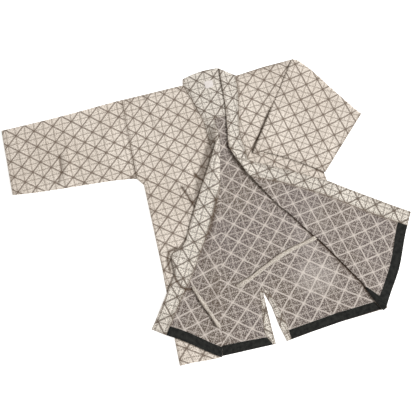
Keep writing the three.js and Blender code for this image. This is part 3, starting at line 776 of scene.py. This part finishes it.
def front_piece(node, fold, table, dip_at, counts, relief):
    """A front panel, or its band: its cut, turned over the fold, with its relief and weave."""
    part, side = node.split("_")
    banded = part == "lapel"
    thickness = BAND if banded else CLOTH
    rows = rows_between(table)
    fractions = fold_columns(fold, rows, dip_at, *counts)
    x, y = row_points(rows, fractions, dip_at)
    px, py, pz = fold.turn(x, y, BAND_MID if banded else FRONT_MID, thickness / 2)
    past = fold.past(x, y)
    swell, shade = relief(px, py, past, fractions) if banded else relief(px, py, past)
    over = (past > 0)[..., None]
    weave = np.where(over, lattice("turned_" + side, px, py), lattice("chest_" + side, x, y))
    piece = grid_piece(("band_" if banded else "cloth_") + node, px, py, pz + swell,
                       weave + BAND_OFFSET * banded, ("start", "end", "bottom" if banded else "top"), shade)
    finish_cloth(piece, thickness, BAND_ALL if banded else CLOTH_UP, node)


front_piece("front_right", FOLD_RIGHT, FRONT_RIGHT, DIP_RIGHT, COLUMNS_RIGHT, right_relief)
front_piece("front_left", FOLD_LEFT, FRONT_LEFT, DIP_LEFT, COLUMNS_LEFT, left_relief)
front_piece("lapel_right", FOLD_RIGHT, LAPEL_RIGHT, DIP_LEFT, BAND_COLUMNS_RIGHT,
            band_right_relief)
front_piece("lapel_left", FOLD_LEFT, LAPEL_LEFT, DIP_LEFT, BAND_COLUMNS_LEFT,
            band_left_relief)


# Back: neck edge and hem by x, and the vent's two edges by y
NECK = [(-257, 36), (-175, 31), (-75, 33), (-40, 12), (0, 4), (45, 8), (80, 22), (165, 27), (250, 27)]
HEM = [(-287, -752), (-228, -753), (-109, -757), (-2, -760), (31, -760), (110, -752), (194, -745),
       (330, -740)]
VENT_RIGHT = [(-560, -0.6), (-602, -0.4), (-650, -1), (-715, -2), (-760, -2)]
VENT_LEFT = [(-560, 0.4), (-602, 0.8), (-648, 13), (-709, 20), (-760, 31)]
VENT_TOP = -603
BACK_TOP = 36
BACK_BOTTOM = -760
# Creases of the back and painted shadows: a path, its width, its depth and how much painted shade it gets
BACK_CREASES_AND_SHADOWS = [
    ([(60, -560), (120, -600), (210, -640)], 14.0, -1.6, 0.0),
    ([(-60, -420), (20, -470), (60, -480)], 16.0, -1.4, 0.0),
    ([(150, -560), (190, -680)], 14.0, 1.2, 0.0),
    # Painted shadows beside the left band's raised edge and in the hem notch at the left fold
    ([(4, -164), (14, -196), (26, -230), (37, -260)], 5.0, 0.0, 0.6),
    ([(284, -656), (302, -692), (316, -720)], 5.0, 0.0, 0.7),
]


def back_relief(x, y):
    """Swells of the open part of the back, flat where the bands, tapes and fronts lie on it."""
    open_cloth = smooth((FOLD_RIGHT.past(x, y) - 12) / 30) * smooth((FOLD_LEFT.past(x, y) - 12) / 30)
    open_cloth = open_cloth * smooth((-100 - y) / 60)
    swell = 0.8 + 0.8 * ripple(x, y, 5.0) + grooves(x, y, BACK_CREASES_AND_SHADOWS)[0]
    return open_cloth * np.maximum(swell, 0.0)


def back_shade(x, y):
    """Painted shadows on the back beside the left band's edge and in the hem notch, the painted shadow that
    the left fold lays along itself, and two patches of painted light.
    """
    down = FOLD_LEFT.down(x, y)
    gap = FOLD_LEFT.past(x, y) + FOLD_LEFT.bowed(down) - 3.5
    dark = np.interp(down, [20, 60, 190, 260, 340, 600, 640], [0.0, 0.3, 0.3, 0.55, 0.95, 0.95, 0.0])
    dark = np.maximum(grooves(x, y, BACK_CREASES_AND_SHADOWS)[1], dark * np.exp(-((gap / 5.0) ** 2)))
    # Painted light: two pale patches, stored as shade below nought, kept off the fold's painted shadow
    pale = 0.17 * smooth(1.5 - np.hypot((x - 158) / 56, (y + 600) / 52))
    pale = np.maximum(pale, 0.10 * smooth(1.5 - np.hypot((x - 160) / 30, (y + 480) / 60)))
    return dark - pale * smooth((gap + 4) / 12)


def make_back():
    """The back, inside up, with its vent cut from the hem."""
    down = np.linspace(0, 1, BACK_ROWS)[:, None]
    base_y = BACK_TOP + (BACK_BOTTOM - BACK_TOP) * down
    left = lookup(SIDE_RIGHT, base_y)
    right = lookup(SIDE_LEFT, base_y)
    edge_a = lookup(VENT_RIGHT, base_y)
    edge_b = lookup(VENT_LEFT, base_y)
    ramp = np.linspace(0, 1, BACK_HALF_COLUMNS)[None, :]
    x = np.concatenate([left + (edge_a - left) * ramp, edge_b + (right - edge_b) * ramp], axis=1)
    top = lookup(NECK, x)
    hem = lookup(HEM, x)
    y = top + (hem - top) * down
    z = BACK_MID + back_relief(x, y)
    piece = grid_piece("cloth_back", x, y, z, lattice("back", x, y), ("start", "end", "top", "bottom"),
                       back_shade(x, y))
    set_mode("EDIT")
    bpy.ops.mesh.select_mode(type="FACE")
    bpy.ops.mesh.select_all(action="DESELECT")
    set_mode("OBJECT")
    polygons = piece.data.polygons
    centres = np.empty(len(polygons) * 3)
    polygons.foreach_get("center", centres)
    place_x = (centres[0::3] - SHIFT[0]) / MM
    place_y = (centres[1::3] - SHIFT[1]) / MM
    in_vent = (lookup(VENT_RIGHT, place_y) < place_x) & (place_x < lookup(VENT_LEFT, place_y))
    polygons.foreach_set("select", in_vent & (place_y < VENT_TOP))
    set_mode("EDIT")
    bpy.ops.mesh.delete(type="FACE")
    set_mode("OBJECT")
    finish_cloth(piece, CLOTH, CLOTH_DOWN, "back")


def tube_section(width_steps):
    """Round a flattened tube: fractions of its width, and 1 on the upper side, -1 on the lower."""
    half = 0.5 - 0.5 * np.cos(np.linspace(0, math.pi, width_steps + 1))
    even = np.linspace(0, 1, width_steps + 1)
    spaced = 0.35 * half + 0.65 * even
    across = np.concatenate([spaced, spaced[::-1][1:]])
    side = np.concatenate([np.ones(width_steps + 1), -np.ones(width_steps)])
    return across, side


def weld(piece):
    """Joins the two edges of a sheet that was wrapped into a tube."""
    select_only(piece)
    set_mode("EDIT")
    bpy.ops.mesh.select_all(action="SELECT")
    bpy.ops.mesh.remove_doubles(threshold=0.00002)
    set_mode("OBJECT")


def evenly(table, spaced_by, count=None):
    """Rows filled in evenly along the path of two of their columns, and the length of that path."""
    table = np.array(table, dtype=float)
    steps = np.hypot(*np.diff(table[:, spaced_by], axis=0).T)
    place = np.insert(np.cumsum(steps), 0, 0)
    length = place[-1]
    even = np.linspace(0, length, count or int(length / TIE_SPACING))
    return np.stack([np.interp(even, place, column) for column in table.T], axis=1), length


def sleeve_points(table, across):
    """The points of each row of a sleeve, its width and its last column."""
    rows, _ = evenly(table, [2, 3], SLEEVE_ROWS)
    top_x, top_y, low_x, low_y, last = (rows[:, k:k + 1] for k in range(5))
    width = np.hypot(top_x - low_x, top_y - low_y)
    return low_x + (top_x - low_x) * across, low_y + (top_y - low_y) * across, width, last


def edge_round(across, width, height):
    """How full a flattened tube is at each fraction of its width, from 0 at its folded edges."""
    near = np.minimum(across, 1 - across) * width
    reach = height * 0.8
    return np.sqrt(np.clip(1 - (1 - np.clip(near / reach, 0, 1)) ** 2, 0, 1))


def make_sleeve_right():
    """The spread sleeve, flattened, a little fuller towards the cuff."""
    across, side = tube_section(ROUND_RIGHT)
    x, y, width, height = sleeve_points(SLEEVE_RIGHT, across)
    full = edge_round(across[None, :], width, height)
    half = (height - CLOTH) / 2
    z = CLOTH / 2 + half + half * full * side
    upper = (side > 0) * full * smooth((-260 - x) / 40)
    z = z + upper * (0.6 + 0.8 * ripple(x, y, 6.0))
    z = z + upper * crease(x, y, (-446, -40), (-470, -185), 12, 3.4)
    z = z + upper * crease(x, y, (-300, 30), (-340, -120), 16, 1.8)
    z = z + upper * crease(x, y, (-590, 10), (-560, -120), 12, 1.6)
    cut_in, dark = grooves(x, y, CREASES_SLEEVE_RIGHT)
    z = z + cut_in * full * (side > 0)
    # Painted shade: the sleeve a little darker towards its cuff
    dark = np.maximum(dark, 0.05 * smooth((-380 - x) / 180))
    piece = grid_piece("cloth_sleeve_right", x, y, z, lattice("sleeve_right", x, y), ("top", "bottom"),
                       dark * (side > 0))
    weld(piece)
    finish_cloth(piece, CLOTH, CLOTH_UP, "sleeve_right")


def make_sleeve_left():
    """The bent sleeve: its pleat rolls over the chest, then it runs down to the surface."""
    across, side = tube_section(ROUND_LEFT)
    crease_top, crease_low = np.array(SLEEVE_LEFT[0][:4], dtype=float).reshape(2, 2)
    line = crease_top - crease_low
    line = line / np.hypot(*line)
    outward = np.array([line[1], -line[0]])
    pleat_mid = SLEEVE_REST + SLEEVE_HEIGHT / 2 + 2 * PLEAT_ROLL
    x, y, width, raised = sleeve_points(SLEEVE_LEFT, across)
    beyond = x - lookup(SIDE_LEFT[:2] + BODY_SIDE_LEFT[1:], y)
    rest = SLEEVE_REST * (1 - smooth((beyond - SLEEVE_SETTLE_START) / SETTLE_WIDTH)) + SLEEVE_HEIGHT / 2
    mid = rest * (1 - raised) + pleat_mid * raised
    full = edge_round(across[None, :], width, SLEEVE_HEIGHT)
    fuller = 4.2 * smooth((across - 0.01) / 0.10) * (1 - smooth((across - 0.34) / 0.22))
    fuller = fuller + 2.4 * smooth((across - 0.80) / 0.10) * (1 - smooth((across - 0.94) / 0.06))
    near_pleat = 1 - smooth(((x - crease_low[0]) * outward[0] + (y - crease_low[1]) * outward[1] - 8) / 60)
    lift = (SLEEVE_HEIGHT - CLOTH) / 2 * full * side
    upper = (side > 0) * full
    lift = lift + upper * (0.6 + 0.8 * ripple(x, y, 7.0) + fuller * near_pleat)
    z = mid + lift
    roll_rows = []
    roll_lift = np.minimum(lift[0], ROLL_SWELL)
    roll_centre = pleat_mid - PLEAT_ROLL
    for angle in [math.pi] + [math.pi * k / ROLL_STEPS for k in range(ROLL_STEPS, 0, -1)]:
        tucked = 0.0 if roll_rows else PLEAT_TUCK
        reach = tucked - (PLEAT_ROLL + roll_lift) * math.sin(angle)
        below = angle > math.pi / 2
        height = roll_centre + (PLEAT_ROLL + (roll_lift if below else lift[0])) * math.cos(angle)
        roll_rows.append((x[0] + outward[0] * reach, y[0] + outward[1] * reach, height))
    x, y, z = (np.concatenate([[row[k] for row in roll_rows], main]) for k, main in enumerate((x, y, z)))
    piece = grid_piece("cloth_sleeve_left", x, y, z, lattice("sleeve_left", x, y), ("bottom",))
    weld(piece)
    finish_cloth(piece, CLOTH, CLOTH_UP, "sleeve_left")


# Neck band: left edge and right edge by y
NECKBAND_LEFT = [(57, -40), (51, -71), (37, -75), (12, -68.7), (-14, -60.7), (-53, -50.7), (-84, -43.7)]
NECKBAND_RIGHT = [(57, 28.5), (54, 40), (21, 36.5), (-20, 33.5), (-52, 30), (-84, 25)]
NECKBAND_TOP = 57
NECKBAND_BOTTOM = -84


def neckband_swell(x, y):
    """The uneven surface of the neck band, and of the label on it."""
    return 0.4 * (1 + ripple(x, y, 8.0)), crease(x, y, (-20, 40), (20, -40), 16, 1.2)


def make_neckband():
    """The doubled band behind the neck, inner face up."""
    down = np.linspace(0, 1, NECKBAND_ROWS)[:, None]
    y = NECKBAND_TOP + (NECKBAND_BOTTOM - NECKBAND_TOP) * down
    left = lookup(NECKBAND_LEFT, y)
    right = lookup(NECKBAND_RIGHT, y)
    ramp = np.linspace(0, 1, NECKBAND_COLUMNS)[None, :]
    x = left + (right - left) * ramp
    y = y + 2.0 * np.sin(ramp * math.pi) * smooth((y - 30) / 27)
    swell, ridge = neckband_swell(x, y)
    z = BAND_MID + swell * smooth((y + 84) / 20)
    z = z + crease(x, y, (-62, 20), (-44, -70), 5, 1.4) + ridge
    cut_in, dark = grooves(x, y, CREASES_AND_SHADOWS_NECK)
    piece = grid_piece("band_neck", x, y, z + cut_in, lattice("chest_right", x, y) + BAND_OFFSET,
                       ("start", "end", "top", "bottom"), dark)
    finish_cloth(piece, BAND, BAND_ALL, "neckband")


def tie(node, line, width, base, arch):
    """A narrow tie, sewn double, that runs a little twisted along a line of points."""
    points, long = evenly(line, [0, 1])
    half = TIE_SMOOTHING // 2
    evened = [np.pad(column, half, mode="reflect", reflect_type="odd") for column in points.T]
    x, y = (np.convolve(column, np.ones(TIE_SMOOTHING) / TIE_SMOOTHING, mode="valid") for column in evened)
    dx = np.gradient(x)[:, None]
    dy = np.gradient(y)[:, None]
    length = np.hypot(dx, dy)
    run = np.linspace(0, long, len(x))[:, None] / long
    aside = np.linspace(-0.5, 0.5, 11)[None, :]
    narrow = width * (0.86 + 0.14 * np.sin(run * 21.0 + 1.0) * np.sin(run * 9.0))
    px = x[:, None] - dy / length * aside * narrow
    py = y[:, None] + dx / length * aside * narrow
    tilt = np.sin(run * 13.0) * aside * 2.4
    crown = (1 - (2 * aside) ** 2) * (0.7 + 0.5 * np.sin(run * 31.0))
    ends = smooth(run / 0.06) * smooth((1 - run) / 0.06)
    pz = base(px, py) + ends * (arch + 1.3 + tilt + crown)
    place_on = np.stack([px, py], axis=-1) * PLAIN_COUNTS
    # Painted shadow along one side of the tie, stored as its shade
    edge = 0.75 * np.exp(-(((aside + 0.5) * narrow / 2.2) ** 2))
    piece = grid_piece("cloth_" + node, px[:, ::-1], py[:, ::-1], pz[:, ::-1], place_on[:, ::-1], (),
                       edge[:, ::-1])
    finish_cloth(piece, TIE, TIE_ALL, node)


def front_tape(side, fold, table, dip_at, counts, columns, relief, climb):
    """The hem tape on the inside of a turned front, along its last two cut rows, climbing its fold."""
    rows = rows_between(table[-2:], TAPE_STEP)
    fractions = fold_columns(fold, rows, dip_at, *counts)[:, columns]
    x, y = row_points(rows, fractions, dip_at)
    upper = 1 - np.linspace(0, 1, len(rows))[:, None]
    climbed = climb * upper * (1 - smooth((fold.past(x, y) - 5) / 15))
    x = x - fold.along[0] * climbed
    y = y - fold.along[1] * climbed
    lift = CLOTH / 2 + GAP + TAPE / 2
    px, py, pz = fold.turn(x, y, FRONT_MID - lift, CLOTH + GAP + TAPE / 2)
    past = fold.past(x, y)
    pz = pz + relief(px, py, past)[0]
    piece = grid_piece("woven_tape_front_" + side, px, py, pz, np.stack([px, py], axis=-1) * PLAIN_COUNTS)
    finish_cloth(piece, TAPE, TAPE_ALL, "tape_front_" + side)


def edge_strip(name, node, cloths, upper, lower):
    """A strip between two edge lines of points, lying on the back."""
    ux, uy = evenly(upper, [0, 1], STRIP_POINTS)[0].T
    lx, ly = evenly(lower, [0, 1], STRIP_POINTS)[0].T
    ramp = np.linspace(0, 1, 10)[:, None]
    x = ux + (lx - ux) * ramp
    y = uy + (ly - uy) * ramp
    z = CLOTH + GAP + TAPE / 2 + back_relief(x, y)
    piece = grid_piece(name, x, y, z, lattice("chest_left", x, y), ("top", "bottom"))
    finish_cloth(piece, TAPE, cloths, node)


make_back()
make_sleeve_right()
make_sleeve_left()
make_neckband()

front_tape("right", FOLD_RIGHT, FRONT_RIGHT, DIP_RIGHT, COLUMNS_RIGHT, TAPED_RIGHT, right_relief, 0)
front_tape("left", FOLD_LEFT, FRONT_LEFT, DIP_LEFT, COLUMNS_LEFT, TAPED_LEFT, left_relief, CLIMB_LEFT)

edge_strip("woven_tape_back_right", "tape_back_right", TAPE_ALL,
           [(-154, -726), (-90, -729), (-14.5, -735)],
           [(-159, -755), (-109, -756.5), (-11.5, -759.5)])
edge_strip("woven_tape_back_left", "tape_back_left", TAPE_ALL,
           [(44.5, -730), (190, -717), (304, -713)],
           [(45.5, -757.5), (110, -751.5), (194, -744.5), (319, -738)])
edge_strip("facing_vent_right", "vent_facing_right", BAND_ALL,
           [(0, -596), (-10, -604), (-15, -640), (-25, -715), (-24, -730), (-12, -759)],
           [(2.2, -598), (-0.6, -612), (-1.5, -650), (-2.5, -715), (-2.5, -759.5)])
edge_strip("facing_vent_left", "vent_facing_left", BAND_ALL,
           [(3.0, -599), (4.6, -614), (13.5, -648), (20.5, -709), (31, -759)],
           [(5, -597), (16, -606), (27, -645), (42.5, -709), (45, -757)])

TIE_LONG = [(194, -487), (172.5, -493), (125, -502), (80, -513), (16, -538), (-25, -557), (-70, -571)]
TIE_SHORT = [(-193, -538), (-184, -570), (-174, -597), (-164, -624), (-155, -650), (-146, -673)]
TURNED_MID = TURNED_SUM - FRONT_MID
WELL_PAST = 90.0
tie("tie_long", TIE_LONG, width=14.5, arch=2.6,
    base=lambda x, y: CLOTH + GAP + TIE / 2 + back_relief(x, y))
tie("tie_short", TIE_SHORT, width=12.0, arch=4.2,
    base=lambda x, y: (TURNED_MID + CLOTH / 2 + GAP + TIE / 2
                       + right_relief(x, y, np.full(np.shape(x), WELL_PAST))[0]))


def make_label():
    """The small patch inside the neck, with nothing on it."""
    x, y = np.meshgrid(np.linspace(-14, 10, 9), np.linspace(27, 7, 8))
    swell, ridge = neckband_swell(x, y)
    z = BAND_MID + swell + ridge + BAND / 2 + GAP + LABEL / 2
    piece = grid_piece("label_patch", x, y, z, np.stack([x, y], axis=-1) * PLAIN_COUNTS)
    finish_cloth(piece, LABEL, LABEL_ALL, "label")


make_label()

# Pale floor, just under the cloth
FLOOR_SIZE = 8
FLOOR_Z = -0.0003
FLOOR_GLOW = 0.62
bpy.ops.object.select_all(action="DESELECT")
bpy.ops.mesh.primitive_plane_add(size=FLOOR_SIZE, location=(0, 0, FLOOR_Z))
floor = bpy.context.object
floor.name = "pale_floor"
floor_material = bpy.data.materials.new("pale_floor")
floor_material.use_nodes = True
set_inputs(floor_material.node_tree.nodes["Principled BSDF"], Base_Color=(0.93, 0.93, 0.93, 1),
           Roughness=0.9, Emission_Color=(1, 1, 1, 1), Emission_Strength=FLOOR_GLOW)
floor.data.materials.append(floor_material)

# Soft studio light, mostly from the wearer's left
WORLD_STRENGTH = 0.44
SUN_STRENGTH = 2.25
SIDE_LAMP_WATTS = 5
KEY_FROM = (1.0, 0.05, 1.2)
world = bpy.data.worlds.new("studio")
world.use_nodes = True
set_inputs(world.node_tree.nodes["Background"], Color=(1.0, 0.97, 0.92, 1), Strength=WORLD_STRENGTH)
bpy.context.scene.world = world

bpy.ops.object.light_add(type="SUN", location=(1, 1, 1))
key = bpy.context.object
key.name = "key_light"
key.data.energy = SUN_STRENGTH
key.data.color = (0.985, 0.995, 1.0)
key.data.angle = math.radians(12)
key.rotation_euler = (
    math.atan2(math.hypot(KEY_FROM[0], KEY_FROM[1]), KEY_FROM[2]), 0,
    math.atan2(KEY_FROM[1], KEY_FROM[0]) + math.pi / 2)

# A lamp nearer the wearer's left, so the spread sleeve is a little darker
bpy.ops.object.light_add(type="AREA", location=(1.5, 0.1, 1.5), rotation=(0, math.radians(45), 0))
side_lamp = bpy.context.object
side_lamp.name = "side_lamp"
side_lamp.data.size = 0.7
side_lamp.data.energy = SIDE_LAMP_WATTS

# Camera straight above, turned as the photo is
PIXEL = 2.9
TURN = math.radians(14.5)
PHOTO_SIZE = 416
NECK_PIXEL = (211, 90)
HEIGHT = 3.2
SENSOR = 36
centre_u = PHOTO_SIZE / 2 - NECK_PIXEL[0]
centre_v = PHOTO_SIZE / 2 - NECK_PIXEL[1]
centre_x = (centre_u * math.cos(TURN) - centre_v * math.sin(TURN)) * PIXEL
centre_y = -(centre_u * math.sin(TURN) + centre_v * math.cos(TURN)) * PIXEL
bpy.ops.object.camera_add(location=(centre_x * MM + SHIFT[0], centre_y * MM + SHIFT[1], HEIGHT))
camera = bpy.context.object
camera.rotation_euler = (0, 0, -TURN)
camera.data.sensor_width = SENSOR
camera.data.lens = SENSOR * HEIGHT / (PHOTO_SIZE * PIXEL * MM)
bpy.context.scene.camera = camera
bpy.context.scene.view_settings.view_transform = "Standard"
